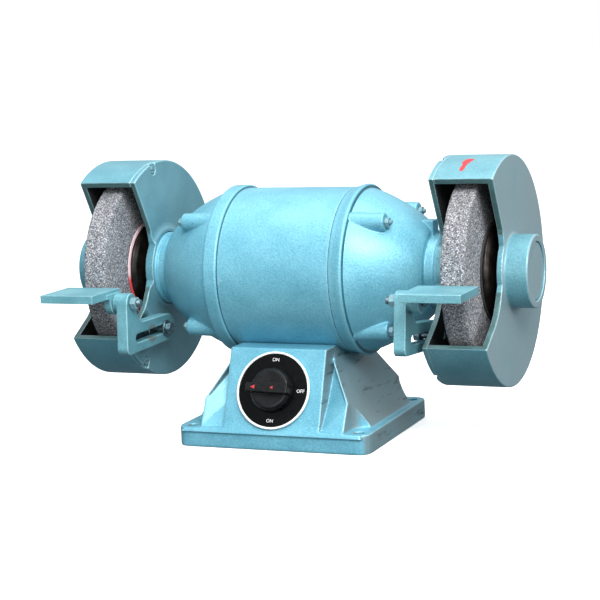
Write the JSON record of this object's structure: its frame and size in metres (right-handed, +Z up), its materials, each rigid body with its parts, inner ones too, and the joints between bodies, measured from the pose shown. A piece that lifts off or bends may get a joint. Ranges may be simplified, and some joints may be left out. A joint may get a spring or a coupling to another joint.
{
  "type": "bench grinder",
  "caption": "Bench grinder: guarded abrasive wheels on a through spindle, adjustable tool rests, and a drum motor on a flared cast base with a rotary switch.",
  "frame": {"origin": "on the bench under the middle of the spindle", "axes": "+X along the spindle towards the right wheel as the operator sees it, -Y towards the operator, +Z up"},
  "size_m": [0.4962, 0.2775, 0.283],
  "materials": {
    "hammered_paint": "hammered turquoise paint over cast iron",
    "abrasive": "coarse grey vitrified abrasive",
    "blotter_paper": "matte printed card",
    "black_steel": "blackened turned steel",
    "zinc_steel": "zinc plated, semi-bright",
    "ground_steel": "ground and turned",
    "bearing_steel": "polished",
    "laminations": "stacked electrical steel, varnished",
    "enamelled_copper": "varnished copper winding",
    "tinplate": "bare sheet, dull",
    "panel_black": "black lacquered plate",
    "panel_white": "white enamelled rim",
    "knob_black": "moulded bakelite",
    "gland_black": "moulded nylon",
    "nylon": "moulded nylon"
  },
  "bodies": {
    "motor_body": {"base_casting": "hammered_paint", "bottom_cover": "tinplate", "switch_plate": "panel_black", "switch_rim": "panel_white", "switch_body": "nylon", "switch_stem": "tinplate", "terminal_block": "nylon", "run_capacitor": "tinplate", "cable_gland": "gland_black", "motor_shell": "hammered_paint", "stator_core": "laminations", "left_coil_end": "enamelled_copper", "right_coil_end": "enamelled_copper", "left_end_bell": "hammered_paint", "right_end_bell": "hammered_paint", "tie_bolt_back_top": "zinc_steel", "tie_bolt_front_top": "zinc_steel", "tie_bolt_front_bottom": "zinc_steel", "tie_bolt_back_bottom": "zinc_steel", "saddle_bolt_front": "zinc_steel", "saddle_bolt_back": "zinc_steel", "left_bearing_outer": "bearing_steel", "left_guard_shell": "hammered_paint", "left_guard_plate": "hammered_paint", "left_hub_plug": "hammered_paint", "left_guard_screw": "zinc_steel", "right_bearing_outer": "bearing_steel", "right_guard_shell": "hammered_paint", "right_guard_plate": "hammered_paint", "right_hub_plug": "hammered_paint", "right_guard_screw": "zinc_steel"},
    "rotor": {"spindle": "ground_steel", "rotor_core": "laminations", "left_bearing_inner": "bearing_steel", "left_wheel": "abrasive", "left_inner_blotter": "blotter_paper", "left_outer_blotter": "blotter_paper", "left_inner_flange": "black_steel", "left_outer_flange": "black_steel", "left_spindle_nut": "zinc_steel", "right_bearing_inner": "bearing_steel", "right_wheel": "abrasive", "right_inner_blotter": "blotter_paper", "right_outer_blotter": "blotter_paper", "right_inner_flange": "black_steel", "right_outer_flange": "black_steel", "right_spindle_nut": "zinc_steel"},
    "knob": {"switch_knob": "knob_black"},
    "left_clamp": {"left_clamp_bolt": "zinc_steel", "left_clamp_washer": "zinc_steel"},
    "left_bracket": {"left_rest_bracket": "hammered_paint", "left_pivot_bolt": "zinc_steel", "left_pivot_nut": "zinc_steel"},
    "left_table": {"left_rest_table": "hammered_paint"},
    "right_clamp": {"right_clamp_bolt": "zinc_steel", "right_clamp_washer": "zinc_steel"},
    "right_bracket": {"right_rest_bracket": "hammered_paint", "right_pivot_bolt": "zinc_steel", "right_pivot_nut": "zinc_steel"},
    "right_table": {"right_rest_table": "hammered_paint"}
  },
  "joints": [
    {"name": "spindle_spin", "type": "hinge", "parent": "motor_body", "child": "rotor", "pos_m": [0, 0, 0.168], "axis": [1, 0, 0], "continuous": true},
    {"name": "switch_turn", "type": "hinge", "parent": "motor_body", "child": "knob", "pos_m": [0, -0.09185, 0.058], "axis": [0, -0.9298, 0.3682], "range_deg": [-90, 90]},
    {"name": "left_rest_swing", "type": "hinge", "parent": "motor_body", "child": "left_clamp", "pos_m": [-0.148, -0.045, 0.11], "axis": [1, 0, 0], "range_deg": [-1.5, 6]},
    {"name": "left_rest_slide", "type": "slide", "parent": "left_clamp", "child": "left_bracket", "axis": [0, -1, 0], "range_m": [-0.0015, 0.008]},
    {"name": "left_table_tilt", "type": "hinge", "parent": "left_bracket", "child": "left_table", "pos_m": [-0.148, -0.116, 0.148], "axis": [1, 0, 0], "range_deg": [-8, 35]},
    {"name": "right_rest_swing", "type": "hinge", "parent": "motor_body", "child": "right_clamp", "pos_m": [0.148, -0.045, 0.11], "axis": [1, 0, 0], "range_deg": [0, 8]},
    {"name": "right_rest_slide", "type": "slide", "parent": "right_clamp", "child": "right_bracket", "axis": [0, -0.9954, 0.0958], "range_m": [0, 0.008]},
    {"name": "right_table_tilt", "type": "hinge", "parent": "right_bracket", "child": "right_table", "pos_m": [0.148, -0.11203, 0.15463], "axis": [1, 0, 0], "range_deg": [-3, 35]}
  ]
}
